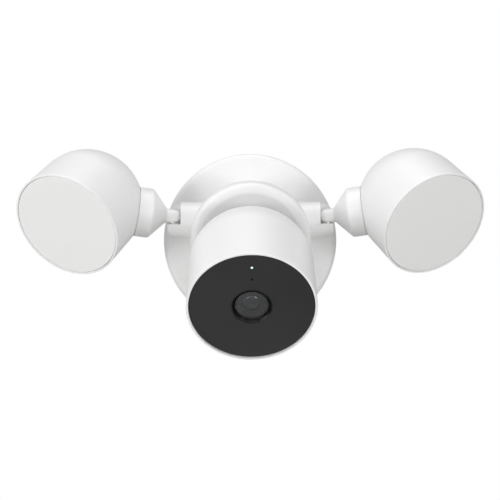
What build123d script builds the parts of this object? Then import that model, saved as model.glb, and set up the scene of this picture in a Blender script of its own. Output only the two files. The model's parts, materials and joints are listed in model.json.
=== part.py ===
from build123d import *
import math
import os

# Floodlight security camera: a wall plate with a hub, a ball-headed camera seated in the hub's cup,
# and two floodlights on hinged stems. Millimetres and degrees.
# The origin is on the wall, at the centre of the wall plate. +Z is up, +X is to the right of someone
# who faces the wall, and everything stands out from the wall towards -Y.

# ---------------------------------------------------------------- driving dimensions
RUNNING_GAP = 0.3            # between curved faces of pieces that move past each other
PIN_CLEARANCE = 0.05         # radial, between a pin or spigot and its hole

# Wall plate
PLATE_RADIUS = 63.3
PLATE_FRONT = 16.0           # from the wall to the plate's front face
PLATE_WALL = 2.5
PLATE_EDGE_ROUND = 4.0
GASKET_THICKNESS = 2.0
PLATE_HOLE_RADIUS = 24.0     # wiring hole between plate and hub

# Bracket that the plate is screwed to
BRACKET_THICKNESS = 2.0
BRACKET_WIDTH = 24.0
BRACKET_LENGTH = 108.0
BOX_SCREW_SPACING = 88.9     # the 3.5 inch spacing of a junction box's ears
BOX_SLOT_LENGTH = 12.0
BOX_SLOT_RADIUS = 2.4
TAB_DEPTH = 12.0
TAB_RADIUS = 56.0            # outer face of the two tabs that the cover screws bite into

# Hub
HUB_BACK_RADIUS = 39.5
RIM_CENTRE = Vector(0, -75.0, 0.56)
RIM_RADIUS = 41.26
RIM_TILT = 18.0
LIP_WIDTH = 6.0
LIP_ROUND = 2.9              # outer rounding of the lip
MOUTH_ROUND = 7.0            # the softer rounding that leads into the cup
DRUM_LENGTH = 8.0            # the straight stretch behind the rim
HUB_WALL = 2.6
RECESS_DEPTH = 10.0

# Camera head, a ball with a cylindrical nose
CAMERA_CENTRE = Vector(0, -104.0, -16.24)
CAMERA_TILT = 31.2
CAMERA_RADIUS = 41.4
CAMERA_NOSE = 44.0           # from the ball's centre to the front edge
CAMERA_WALL = 2.4
CAMERA_RIM_WIDTH = 1.45
WINDOW_FRONT = 42.5
WINDOW_THICKNESS = 2.0
LENS_RING_RADIUS = 13.0
LENS_COVER_RADIUS = 10.9
STATUS_LIGHT_Y = 29.5        # above the lens, along the face
STATUS_LIGHT_RADIUS = 0.7
MICROPHONE_Y = 20.8
MICROPHONE_RADIUS = 0.7

# Magnetic seat that the ball rests in
PAD_RADIUS = 8.0
PAD_THICKNESS = 1.6
SEAT_RADIUS = 27.0
SEAT_THICKNESS = 3.0
SEAT_SCREW_RADIUS = 21.0

# Arms and knuckles; these and the lamps are made for +X and mirrored
ARM_PLACE = Vector(54.0, -49.0, 16.3)    # on the arm's axis, where its radius is given
ARM_RISE = 5.95              # the arm climbs outwards
ARM_RADIUS = 11.7
ARM_TAPER = 5.95             # half angle
ARM_ROOT = -26.0             # where the arm starts inside the hub, along its axis
ARM_END = 3.6
ARM_EDGE_ROUND = 3.6
KNUCKLE = Vector(54.0, -49.0, 17.9)      # the centre that the stem swings about
FINGER_RADIUS = 5.0
FLOOR_DEPTH = 5.4            # of the knuckle's notch below its centre
NOTCH_INNER = 5.5            # from the knuckle's centre to the notch's inner wall
NOTCH_BACK = 6.0             # and to its back wall
PIN_RADIUS = 2.5
PIN_TOP = 3.0                # above the knuckle's centre
NIPPLE_RADIUS = 8.0
NIPPLE_BORE = 5.0

# Stem and lamp
LAMP_CENTRE = Vector(112.9, -60.4, 26.6)
LAMP_OUTWARD = 25.8
LAMP_DOWN = 29.0
LAMP_BALL_RADIUS = 38.2
LAMP_FACE_RADIUS = 38.55
LAMP_FACE = 29.7             # from the ball's centre to the face
LAMP_WALL = 2.4
LAMP_RIM_WIDTH = 1.2
DIFFUSER_THICKNESS = 2.6
NECK_END = 5.4               # along the stem from the knuckle's centre
CONE_END = 16.5
BOSS_RADIUS = 17.25
SPIGOT_RADIUS = 8.0

# ---------------------------------------------------------------- frames


def sine(angle):
    return math.sin(math.radians(angle))


def cosine(angle):
    return math.cos(math.radians(angle))


RIM_AXIS = Vector(0, -cosine(RIM_TILT), -sine(RIM_TILT))
CAMERA_AXIS = Vector(0, -cosine(CAMERA_TILT), -sine(CAMERA_TILT))
RECESS_MIDDLE = RIM_CENTRE - RIM_AXIS * 15.0
SEAT_AXIS = (RECESS_MIDDLE - CAMERA_CENTRE).normalized()
ARM_AXIS = Vector(cosine(ARM_RISE), 0, sine(ARM_RISE))
STEM_AXIS = (LAMP_CENTRE - KNUCKLE).normalized()
STEM_LENGTH = (LAMP_CENTRE - KNUCKLE).length
LAMP_AXIS = Vector(
    sine(LAMP_OUTWARD) * cosine(LAMP_DOWN),
    -cosine(LAMP_OUTWARD) * cosine(LAMP_DOWN),
    -sine(LAMP_DOWN),
)

WALL_FRAME = Plane(origin=(0, 0, 0), x_dir=(1, 0, 0), z_dir=(0, -1, 0))
RIM_FRAME = Plane(origin=RIM_CENTRE, x_dir=(1, 0, 0), z_dir=RIM_AXIS)
CAMERA_FRAME = Plane(origin=CAMERA_CENTRE, x_dir=(1, 0, 0), z_dir=CAMERA_AXIS)
SEAT_FRAME = Plane(origin=CAMERA_CENTRE, x_dir=(1, 0, 0), z_dir=SEAT_AXIS)
ARM_FRAME = Plane(origin=ARM_PLACE, x_dir=(0, 1, 0), z_dir=ARM_AXIS)
PIN_FRAME = Plane(origin=KNUCKLE, x_dir=(1, 0, 0), z_dir=(0, 0, 1))
STEM_FRAME = Plane(origin=KNUCKLE, x_dir=(0, 1, 0), z_dir=STEM_AXIS)
LAMP_FRAME = Plane(origin=LAMP_CENTRE, x_dir=(cosine(LAMP_OUTWARD), sine(LAMP_OUTWARD), 0), z_dir=LAMP_AXIS)

# ---------------------------------------------------------------- shape helpers


def placed(shape, frame):
    """The shape, drawn about the origin, set into a frame."""
    return shape.moved(frame.location)


def turned(*outline):
    """A solid turned about Z from (radius, height) points."""
    profile = make_face(Plane.XZ * Polyline(*outline, close=True))
    return revolve(profile, Axis.Z)


def rod(radius, low, high, x=0, y=0):
    """A round bar along Z."""
    return Pos(x, y, low) * Cylinder(radius, high - low, align=(Align.CENTER, Align.CENTER, Align.MIN))


def ring(outer, inner, low, high, x=0, y=0):
    """A plain ring along Z."""
    return rod(outer, low, high, x, y) - rod(inner, low - 1, high + 1, x, y)


def block(x_size, y_size, low, high, x=0, y=0):
    """A rectangular block along Z."""
    return Pos(x, y, low) * Box(x_size, y_size, high - low, align=(Align.CENTER, Align.CENTER, Align.MIN))


def around(count, radius, first=90.0):
    """Evenly spaced (x, y) places on a circle."""
    step = 360.0 / count
    return [(radius * cosine(first + step * i), radius * sine(first + step * i)) for i in range(count)]


def screw(head_radius, head_height, shank_radius, shank_length):
    """A pan-head screw with a hexagon socket: its head is above Z = 0, its shank, just under size, below."""
    socket = extrude(RegularPolygon(head_radius * 0.5, 6), head_height * 0.6)
    head = rod(head_radius, 0, head_height) - Pos(0, 0, head_height * 0.4) * socket
    return head + rod(shank_radius - PIN_CLEARANCE, -shank_length, 0)


def group(shapes):
    """Separate solids that share a node."""
    return Compound(children=list(shapes))


def mirrored(shape):
    """The -X twin of a +X piece, or of a group of solids."""
    twins = [solid.mirror(Plane.YZ) for solid in shape.solids()]
    return twins[0] if len(twins) == 1 else group(twins)


# ---------------------------------------------------------------- wall plate and bracket

COVER_SCREW_DEPTH = 8.5      # from the wall to the cover screws
HUB_SCREW_RADIUS = 33.5
REAR_COVER_RADIUS = 29.5
REAR_COVER_THICKNESS = 2.0
REAR_SCREW_RADIUS = 26.8


def mounting_bracket():
    """A stamped cross: a bar with the box slots and an upright whose ends bend forward as tabs."""
    bar = block(BRACKET_LENGTH, BRACKET_WIDTH, 0, BRACKET_THICKNESS)
    upright = block(BRACKET_WIDTH, 2 * TAB_RADIUS, 0, BRACKET_THICKNESS)
    bracket = bar + upright
    for side in (-1, 1):
        tab_y = side * (TAB_RADIUS - BRACKET_THICKNESS / 2)
        bracket += block(BRACKET_WIDTH, BRACKET_THICKNESS, 0, TAB_DEPTH, 0, tab_y)
        slot = SlotOverall(BOX_SLOT_LENGTH, 2 * BOX_SLOT_RADIUS)
        bracket -= Pos(side * BOX_SCREW_SPACING / 2, 0, -1) * extrude(slot, BRACKET_THICKNESS + 2)
        tapped = Pos(0, side * TAB_RADIUS, COVER_SCREW_DEPTH) * Rot(90, 0, 0) * Cylinder(2.0, 10)
        bracket -= tapped
        bracket -= rod(2.0, -1, 3, side * 28.0, 0)
    bracket -= rod(7.0, -1, 3)
    return placed(bracket, WALL_FRAME)


def wall_gasket():
    """A foam ring between the plate's rim and the wall."""
    return placed(ring(PLATE_RADIUS - 0.8, PLATE_RADIUS - 5.5, 0, GASKET_THICKNESS), WALL_FRAME)


def base_plate():
    """A round canopy, open to the wall, with its front edge rounded."""
    plate = rod(PLATE_RADIUS, GASKET_THICKNESS, PLATE_FRONT)
    plate = fillet(plate.edges().group_by(Axis.Z)[-1], PLATE_EDGE_ROUND)
    plate -= rod(PLATE_RADIUS - PLATE_WALL, GASKET_THICKNESS - 1, PLATE_FRONT - PLATE_WALL)
    plate -= rod(PLATE_HOLE_RADIUS, 0, PLATE_FRONT + 1)
    for x, y in around(4, HUB_SCREW_RADIUS, 45):
        plate -= rod(1.6, 0, PLATE_FRONT + 1, x, y)
    for x, y in around(4, REAR_SCREW_RADIUS, 0):
        plate -= rod(1.2, 0, PLATE_FRONT + 1, x, y)
    for side in (-1, 1):
        hole = Pos(0, side * PLATE_RADIUS, COVER_SCREW_DEPTH) * Rot(90, 0, 0)
        plate -= hole * Cylinder(2.1, 20)
        plate -= hole * Cylinder(4.0, 2.4)
    return placed(plate, WALL_FRAME)


def cover_screws():
    """Two radial screws, above and below, that hold the plate to the bracket's tabs."""
    seat = PLATE_RADIUS - 1.2
    up = Pos(0, seat, COVER_SCREW_DEPTH) * Rot(-90, 0, 0) * screw(3.6, 1.1, 2.0, 10.0)
    down = Pos(0, -seat, COVER_SCREW_DEPTH) * Rot(90, 0, 0) * screw(3.6, 1.1, 2.0, 10.0)
    return placed(group([up, down]), WALL_FRAME)


def ground_screw():
    """The earthing screw on the bracket's bar."""
    return placed(Pos(28.0, 0, BRACKET_THICKNESS) * screw(3.6, 2.2, 2.0, BRACKET_THICKNESS), WALL_FRAME)


def rear_cover():
    """A disc that closes the hub's back, with a hole for the supply wires."""
    front = PLATE_FRONT - PLATE_WALL
    cover = rod(REAR_COVER_RADIUS, front - REAR_COVER_THICKNESS, front)
    cover -= rod(5.0, 0, PLATE_FRONT, 0, -14.0)
    for x, y in around(4, REAR_SCREW_RADIUS, 0):
        cover -= rod(1.4, 0, PLATE_FRONT, x, y)
    return placed(cover, WALL_FRAME)


def rear_cover_screws():
    """Four small screws that hold the rear cover to the plate."""
    seat = PLATE_FRONT - PLATE_WALL - REAR_COVER_THICKNESS
    one = Pos(0, 0, seat) * Rot(180, 0, 0) * screw(2.4, 1.4, 1.2, 4.2)
    return placed(group(Pos(x, y, 0) * one for x, y in around(4, REAR_SCREW_RADIUS, 0)), WALL_FRAME)


def terminal_block():
    """A three-way block for the house wires, on the rear cover."""
    high = PLATE_FRONT - PLATE_WALL - REAR_COVER_THICKNESS
    body = block(26.0, 10.0, high - 7.5, high, 0, 17.5)
    for x in (-8.0, 0.0, 8.0):
        body -= rod(1.8, high - 8, high - 4, x, 17.5)
    return placed(body, WALL_FRAME)


# ---------------------------------------------------------------- hub


def hub_form(inset):
    """The hub's outer form, drawn in by the inset: a leaning barrel that ends in a straight drum."""
    back = Plane(origin=(0, -PLATE_FRONT, 0), x_dir=(1, 0, 0), z_dir=(0, -1, 0))
    middle_axis = (0, -cosine(RIM_TILT * 0.35), -sine(RIM_TILT * 0.35))
    middle = Plane(origin=(0, -42.0, 0.0), x_dir=(1, 0, 0), z_dir=middle_axis)
    front = Plane(origin=RIM_CENTRE - RIM_AXIS * DRUM_LENGTH, x_dir=(1, 0, 0), z_dir=RIM_AXIS)
    barrel = loft([
        back * Circle(HUB_BACK_RADIUS - inset),
        middle * Circle((HUB_BACK_RADIUS + RIM_RADIUS) / 2 - inset),
        front * Circle(RIM_RADIUS - inset),
    ])
    drum = rod(RIM_RADIUS - inset, -DRUM_LENGTH, 0)
    if inset == 0:
        drum = fillet(drum.edges().group_by(Axis.Z)[-1], LIP_ROUND)
    return barrel + placed(drum, RIM_FRAME)


def seat_ball(radius, reach):
    """The part of a ball about the camera's centre that lies within reach of the seat's axis."""
    return placed(Sphere(radius) & rod(reach, 10.0, radius + 1), SEAT_FRAME)


def hub_recess():
    """The cup that the camera's ball nests in: a soft rounding that runs on into a shallow bowl."""
    top = RIM_RADIUS - LIP_ROUND
    side = top - MOUTH_ROUND * cosine(45)
    fall = MOUTH_ROUND * (1 - sine(45))
    bowl_radius = (RECESS_DEPTH - fall) / (1 - cosine(45))
    floor_radius = side - bowl_radius * sine(45)
    rounding = CenterArc((top, -MOUTH_ROUND), MOUTH_ROUND, 90, 45)
    bowl = CenterArc((floor_radius, bowl_radius - RECESS_DEPTH), bowl_radius, 270, 45)
    sides = Polyline((floor_radius, -RECESS_DEPTH), (0, -RECESS_DEPTH), (0, 2), (top, 2), (top, 0))
    return placed(revolve(Plane.XZ * make_face(sides + rounding + bowl), Axis.Z), RIM_FRAME)


def hub_cavity():
    """The hollow behind the cup, where the driver sits."""
    rim, waist, front, back = RIM_RADIUS + 2, 33.0, -5.0, -RECESS_DEPTH - 5.0
    backing = turned((0, 3), (rim, 3), (rim, front), (waist, back), (0, back))
    floor_ball = Sphere(SEAT_OUTER + SEAT_BACKING)
    return hub_form(HUB_WALL) - placed(backing, RIM_FRAME) - placed(floor_ball, CAMERA_FRAME)


def hub_shell(form, recess):
    """The hub: a leaning drum with a round-lipped cup in front and a hollow back."""
    hub = form - recess
    hub -= seat_ball(SEAT_OUTER, SEAT_RADIUS)
    hub -= hub_cavity()
    pads = placed(rod(11.0, -26.6, -12.0), ARM_FRAME) & form
    posts = group(rod(4.2, PLATE_FRONT, 28.0, x, y) for x, y in around(4, HUB_SCREW_RADIUS, 45))
    hub += pads
    hub += mirrored(pads)
    hub += placed(posts, WALL_FRAME) & form
    nipple_hole = placed(rod(NIPPLE_RADIUS + PIN_CLEARANCE, -40.0, -8.0), ARM_FRAME)
    hub -= nipple_hole
    hub -= mirrored(nipple_hole)
    for x, y in around(4, HUB_SCREW_RADIUS, 45):
        hub -= placed(rod(1.5, PLATE_FRONT - 1, 26.0, x, y), WALL_FRAME)
    for x, y in around(3, SEAT_SCREW_RADIUS):
        hub -= placed(rod(1.4, 38.0, 50.0, x, y), SEAT_FRAME)
    hub -= Pos(0, GLAND_Y, -50) * Cylinder(GLAND_NECK, 40)
    return hub


def hub_screws():
    """Four screws through the plate into the hub's posts."""
    one = Pos(0, 0, PLATE_FRONT - PLATE_WALL) * Rot(180, 0, 0) * screw(2.9, 1.8, 1.5, 11.0)
    return placed(group(Pos(x, y, 0) * one for x, y in around(4, HUB_SCREW_RADIUS, 45)), WALL_FRAME)


def cable_gland():
    """A rubber grommet under the hub, where the camera's supply lead would leave."""
    low, lip, shoulder, high = -43.0, -41.8, -40.3, -35.0
    flange = GLAND_NECK + 2
    grommet = turned((GLAND_BORE, low), (flange - 1, low), (flange, lip), (flange, shoulder),
                     (GLAND_NECK, shoulder), (GLAND_NECK, high), (GLAND_BORE, high))
    return Pos(0, GLAND_Y, 0) * grommet


def driver_board():
    """The lamp driver's circuit board, standing off the hub's back."""
    board = block(34.0, 44.0, 20.0, 21.6)
    for y in (-19.0, 19.0):
        board -= rod(1.4, 19.0, 23.0, 0, y)
    return placed(board, WALL_FRAME)


def driver_transformer():
    """The transformer on the driver board."""
    core = block(18.0, 15.0, 21.6, 34.0, -7.0, 6.0)
    return placed(core + block(12.0, 19.0, 23.5, 32.0, -7.0, 6.0), WALL_FRAME)


def driver_capacitors():
    """Three electrolytic capacitors on the driver board."""
    return placed(group(rod(4.0, 21.6, 34.0, x, -11.0) for x in (-12.0, 0.0, 12.0)), WALL_FRAME)


# ---------------------------------------------------------------- magnetic seat

PAD_INNER = CAMERA_RADIUS + RUNNING_GAP
PAD_OUTER = PAD_INNER + PAD_THICKNESS
SEAT_INNER = PAD_OUTER + RUNNING_GAP
SEAT_OUTER = SEAT_INNER + SEAT_THICKNESS
SEAT_BACKING = 3.0           # of the hub's wall behind the seat
SEAT_HEAD_LOW = 39.2         # where the seat screws' sunk heads start, along the seat's axis
SEAT_HEAD_HIGH = 40.2
GLAND_Y = -45.0
GLAND_NECK = 5.0
GLAND_BORE = 2.2


def cradle_seat():
    """A dished seat, concentric with the camera's ball, with three sunk screw holes."""
    seat = seat_ball(SEAT_OUTER, SEAT_RADIUS) - placed(Sphere(SEAT_INNER), SEAT_FRAME)
    for x, y in around(3, SEAT_SCREW_RADIUS):
        seat -= placed(rod(2.7, 30.0, SEAT_HEAD_HIGH, x, y), SEAT_FRAME)
        seat -= placed(rod(1.5, 30.0, 50.0, x, y), SEAT_FRAME)
    return seat


def cradle_screws():
    """Three screws that hold the seat in the cup."""
    height = SEAT_HEAD_HIGH - SEAT_HEAD_LOW
    one = Pos(0, 0, SEAT_HEAD_HIGH) * Rot(180, 0, 0) * screw(2.5, height, 1.4, 6.0)
    return placed(group(Pos(x, y, 0) * one for x, y in around(3, SEAT_SCREW_RADIUS)), SEAT_FRAME)


def cradle_magnet():
    """A ring magnet behind the cup's floor."""
    return placed(ring(16.0, 4.0, SEAT_OUTER + 5.4, SEAT_OUTER + 10.4), SEAT_FRAME)


def swivel_pad():
    """The friction pad between seat and ball, which follows the camera's pan."""
    return seat_ball(PAD_OUTER, PAD_RADIUS) - placed(Sphere(PAD_INNER), SEAT_FRAME)


# ---------------------------------------------------------------- camera head

CAMERA_INNER = CAMERA_RADIUS - CAMERA_WALL
RIM_INNER = CAMERA_RADIUS - CAMERA_RIM_WIDTH
WINDOW_BACK = WINDOW_FRONT - WINDOW_THICKNESS
LEDGE_FRONT = WINDOW_BACK - 1.0
LEDGE_BACK = LEDGE_FRONT - 3.0
LEDGE_RADIUS = 37.2
CHASSIS_FRONT = 36.0
CHASSIS_BACK = 33.5
CHASSIS_SCREW_RADIUS = 34.5
BUTTON_Z = 26.0              # along the camera's axis, forward of the ball's centre
BUTTON_RADIUS = 2.3
PORT_Z = -12.0
SPEAKER_Z = 4.0


def underside(shape, along):
    """A shape drawn about Z, set to look out of the camera's underside at a place along its axis."""
    return Pos(0, 0, along) * Rot(90, 0, 0) * shape


def camera_shell():
    """Ball and nose in one wall, with a ledge for the window and openings underneath."""
    nose = fillet(rod(CAMERA_RADIUS, 0, CAMERA_NOSE).edges().group_by(Axis.Z)[-1], 0.8)
    shell = nose + Sphere(CAMERA_RADIUS)
    shell -= Sphere(CAMERA_INNER)
    shell -= rod(CAMERA_INNER, 0, LEDGE_BACK)
    shell -= rod(LEDGE_RADIUS, 0, CAMERA_NOSE)
    shell -= rod(RIM_INNER, LEDGE_FRONT, CAMERA_NOSE + 1)
    for x, y in around(3, CHASSIS_SCREW_RADIUS + 1.7):
        post = rod(3.4, 20.0, CHASSIS_BACK, x, y) & rod(CAMERA_INNER + 1, 0, CAMERA_NOSE)
        shell += post
    for x, y in around(3, CHASSIS_SCREW_RADIUS):
        shell -= rod(1.1, 22.0, CHASSIS_BACK + 0.01, x, y)
    shell -= underside(rod(BUTTON_RADIUS + RUNNING_GAP, 30, 50), BUTTON_Z)
    shell -= underside(block(9.4, 3.6, 30, 50), PORT_Z)
    for x, y in [(0, 0)] + around(6, 2.8, 0) + around(12, 5.6, 0):
        shell -= underside(rod(0.6, 30, 50, x, y), SPEAKER_Z)
    return placed(shell, CAMERA_FRAME)


def front_window():
    """The dark front plate, with holes for the lens, the status light and the microphone."""
    window = rod(RIM_INNER - 0.2, WINDOW_BACK, WINDOW_FRONT)
    window -= rod(LENS_RING_RADIUS + 0.1, 30, 50)
    window -= rod(STATUS_LIGHT_RADIUS + 0.1, 30, 50, 0, STATUS_LIGHT_Y)
    window -= rod(MICROPHONE_RADIUS, 30, 50, 0, MICROPHONE_Y)
    return placed(window, CAMERA_FRAME)


def window_gasket():
    """A flat ring seal behind the window."""
    return placed(ring(RIM_INNER - 0.3, LEDGE_RADIUS + 0.1, LEDGE_FRONT, WINDOW_BACK), CAMERA_FRAME)


def lens_ring():
    """The bezel round the lens: a proud edge that falls inwards as a cone."""
    top = WINDOW_FRONT + 0.2
    inner = LENS_COVER_RADIUS + 0.4
    bezel = turned((inner, 38.5), (LENS_RING_RADIUS, 38.5), (LENS_RING_RADIUS, top),
                   (LENS_RING_RADIUS - 0.5, top), (inner, top - 2.1))
    return placed(bezel, CAMERA_FRAME)


def lens_cover():
    """A domed glass cover of even thickness over the lens."""
    edge, rise, thickness = 41.2, 2.4, 1.2
    curve = (LENS_COVER_RADIUS ** 2 + rise ** 2) / (2 * rise)
    centre = Pos(0, 0, edge + rise - curve)
    cover = rod(LENS_COVER_RADIUS, 38.6, 45.0) & centre * Sphere(curve)
    cover -= rod(LENS_COVER_RADIUS - 1.4, 38.0, 45.0) & centre * Sphere(curve - thickness)
    return placed(cover, CAMERA_FRAME)


def lens_barrel():
    """The lens barrel, with a stepped, conical front."""
    back, step, front, seat = 24.0, 35.0, 39.6, 38.2
    barrel = turned((0, back), (7.0, back), (7.0, step), (9.2, step), (9.2, front), (8.6, front),
                    (5.6, seat), (0, seat))
    return placed(barrel, CAMERA_FRAME)


def lens_element():
    """The front glass element in the barrel."""
    curve = 9.0
    element = rod(5.4, 38.2, 42.0) & Pos(0, 0, 40.0 - curve) * Sphere(curve)
    return placed(element, CAMERA_FRAME)


def image_sensor():
    """The sensor on its own small board, behind the barrel."""
    return placed(block(26.0, 22.0, 21.6, 22.8) + block(9.0, 7.0, 22.8, 23.9), CAMERA_FRAME)


def camera_chassis():
    """A round frame that carries the optics behind the window."""
    chassis = rod(LEDGE_RADIUS - 0.4, CHASSIS_BACK, CHASSIS_FRONT)
    chassis -= rod(9.6, 30, 40)
    for x, y in around(3, CHASSIS_SCREW_RADIUS):
        chassis -= rod(1.2, 30, 40, x, y)
    return placed(chassis, CAMERA_FRAME)


def chassis_screws():
    """Three screws that hold the chassis to the shell's posts."""
    one = Pos(0, 0, CHASSIS_FRONT) * screw(2.2, 1.3, 1.1, 10.0)
    return placed(group(Pos(x, y, 0) * one for x, y in around(3, CHASSIS_SCREW_RADIUS)), CAMERA_FRAME)


def infrared_emitters():
    """Four night-vision emitters on the chassis, behind the dark window."""
    places = [(x, y) for x in (-20.0, 20.0) for y in (-6.0, 6.0)]
    top = CHASSIS_FRONT + 1.4
    return placed(group(block(3.4, 3.4, CHASSIS_FRONT, top, x, y) for x, y in places), CAMERA_FRAME)


def status_light():
    """A light pipe that ends flush in the window."""
    pipe = rod(STATUS_LIGHT_RADIUS, CHASSIS_FRONT, WINDOW_FRONT - 0.05, 0, STATUS_LIGHT_Y)
    foot = rod(1.8, CHASSIS_FRONT, CHASSIS_FRONT + 1.5, 0, STATUS_LIGHT_Y)
    return placed(pipe + foot, CAMERA_FRAME)


def microphone():
    """A small microphone capsule behind its hole."""
    return placed(rod(2.2, CHASSIS_FRONT, WINDOW_BACK - 0.1, 0, MICROPHONE_Y), CAMERA_FRAME)


def main_board():
    """The camera's round main circuit board."""
    board = rod(32.0, 15.0, 16.6)
    chip = block(14.0, 14.0, 16.6, 18.2, 0, 2)
    return placed(board + chip, CAMERA_FRAME)


def battery_pack():
    """The back-up battery, a soft-cornered block."""
    pack = block(44.0, 26.0, -12.0, 10.0, 0, 4.0)
    return placed(fillet(pack.edges(), 2.5), CAMERA_FRAME)


def speaker():
    """A round speaker that faces the holes underneath."""
    driver = turned((0, 27.0), (6.0, 27.0), (6.0, 30.0), (10.5, 31.5), (10.5, 35.0), (0, 35.0))
    return placed(underside(driver, SPEAKER_Z), CAMERA_FRAME)


def steel_disc():
    """A dished steel plate inside the ball's back, which the magnet pulls on."""
    disc = (Sphere(CAMERA_INNER - 0.3) - Sphere(CAMERA_INNER - 2.8)) & rod(22.0, -45.0, -10.0)
    return placed(disc, CAMERA_FRAME)


def power_port():
    """The supply socket: a metal sleeve with a tongue inside."""
    sleeve = block(9.2, 3.4, 31.0, 38.8) - block(8.4, 2.6, 32.0, 39.0)
    tongue = block(6.6, 0.7, 31.0, 37.0)
    return placed(underside(sleeve + tongue, PORT_Z), CAMERA_FRAME)


def reset_button():
    """A push button under the camera, kept in by its flange."""
    flange_top = CAMERA_INNER - RUNNING_GAP - 0.1
    button = rod(BUTTON_RADIUS, 36.0, CAMERA_RADIUS - 0.25)
    button += rod(BUTTON_RADIUS + 1.2, flange_top - 1.2, flange_top)
    return placed(underside(button, BUTTON_Z), CAMERA_FRAME)


# ---------------------------------------------------------------- arms and knuckles

PIN_FOOT = -10.0             # the pin's lower end, in the arm below the notch
WASHER_RADIUS = 4.2
WASHER_THICKNESS = 0.65


def knuckle_notch():
    """The room for the stem's finger: open upwards, forwards and outwards, with a level floor."""
    length, width, height = 40.0, 40.0, 30.0
    room = Box(length, width, height, align=(Align.MIN, Align.MAX, Align.MIN))
    return placed(Pos(-NOTCH_INNER, NOTCH_BACK, -FLOOR_DEPTH) * room, PIN_FRAME)


def arm(form):
    """A tapered arm that grows out of the hub's side and ends in a notched knuckle."""
    slope = math.tan(math.radians(ARM_TAPER))
    body = turned((0, ARM_ROOT), (ARM_RADIUS - ARM_ROOT * slope, ARM_ROOT),
                  (ARM_RADIUS - ARM_END * slope, ARM_END), (0, ARM_END))
    body = fillet(body.edges().group_by(Axis.Z)[-1], ARM_EDGE_ROUND)
    shape = placed(body, ARM_FRAME) - form
    shape = max(shape.solids(), key=lambda s: s.volume)
    shape += placed(rod(NIPPLE_RADIUS, -32.0, -14.0), ARM_FRAME)
    shape -= placed(rod(NIPPLE_BORE, -40.0, -9.0), ARM_FRAME)
    shape -= knuckle_notch()
    shape -= placed(rod(PIN_RADIUS, PIN_FOOT, 0), PIN_FRAME)
    return shape


def arm_nut():
    """The lock nut on the arm's nipple, inside the hub."""
    nut = extrude(RegularPolygon(10.5, 6), 4.6) - rod(NIPPLE_RADIUS, -1, 6)
    return placed(Pos(0, 0, -31.3) * nut, ARM_FRAME)


def knuckle_pin():
    """An upright pin, fixed in the notch's floor, that the stem's finger turns on."""
    return placed(rod(PIN_RADIUS, PIN_FOOT, PIN_TOP), PIN_FRAME)


def knuckle_washer():
    """The friction washer on the notch's floor, under the finger's round end."""
    top = WASHER_THICKNESS - FLOOR_DEPTH
    return placed(ring(WASHER_RADIUS, PIN_RADIUS + PIN_CLEARANCE, -FLOOR_DEPTH, top), PIN_FRAME)


# ---------------------------------------------------------------- stem

BOSS_BALL = LAMP_BALL_RADIUS + RUNNING_GAP
SEAL_OUTER = 12.4
SEAL_INNER = 10.0
WIRE_BORE = 6.0              # through the boss and the spigot


def stem():
    """A round-ended finger that widens as a cone to a boss, with a spigot that enters the lamp."""
    far = STEM_LENGTH - 33.0
    tip = CenterArc((0, 0), FINGER_RADIUS, -90, 90)
    sides = Polyline((FINGER_RADIUS, 0), (FINGER_RADIUS, NECK_END), (BOSS_RADIUS, CONE_END),
                     (BOSS_RADIUS, far), (0, far), (0, -FINGER_RADIUS))
    profile = Plane.XZ * make_face(tip + sides)
    for height, rounding in ((NECK_END, 1.5), (CONE_END, 3.0)):
        corner = profile.vertices().filter_by(lambda v: abs(v.Z - height) < 0.01)
        profile = fillet(corner, rounding)
    body = revolve(profile, Axis.Z)
    body -= Pos(0, 0, STEM_LENGTH) * Sphere(BOSS_BALL)
    body -= ring(SEAL_OUTER, SEAL_INNER, STEM_LENGTH - BOSS_BALL - 1.0, far)
    body += rod(SPIGOT_RADIUS, STEM_LENGTH - BOSS_BALL - 2.0, STEM_LENGTH - 30.6)
    body -= rod(WIRE_BORE, CONE_END - 1.5, far + 20)
    return placed(body, STEM_FRAME) - placed(rod(PIN_RADIUS + PIN_CLEARANCE, -10, PIN_TOP + 0.4), PIN_FRAME)


def stem_seal():
    """The rubber seal in the boss's end, round the spigot."""
    seal = ring(SEAL_OUTER, SEAL_INNER, STEM_LENGTH - BOSS_BALL - 1.0, STEM_LENGTH - 33.0)
    return placed(seal - Pos(0, 0, STEM_LENGTH) * Sphere(BOSS_BALL), STEM_FRAME)


def lamp_retainer():
    """The ring on the spigot's end that keeps the lamp on its stem."""
    return placed(ring(11.0, SPIGOT_RADIUS, STEM_LENGTH - 33.2, STEM_LENGTH - 31.2), STEM_FRAME)


# ---------------------------------------------------------------- lamp

LAMP_INNER = LAMP_BALL_RADIUS - LAMP_WALL
DIFFUSER_SEAT = LAMP_FACE - 4.0
DIFFUSER_RADIUS = LAMP_FACE_RADIUS - LAMP_RIM_WIDTH - 0.3
LED_BOARD_FRONT = 15.4
HEAT_SINK_BACK = 11.0


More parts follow.
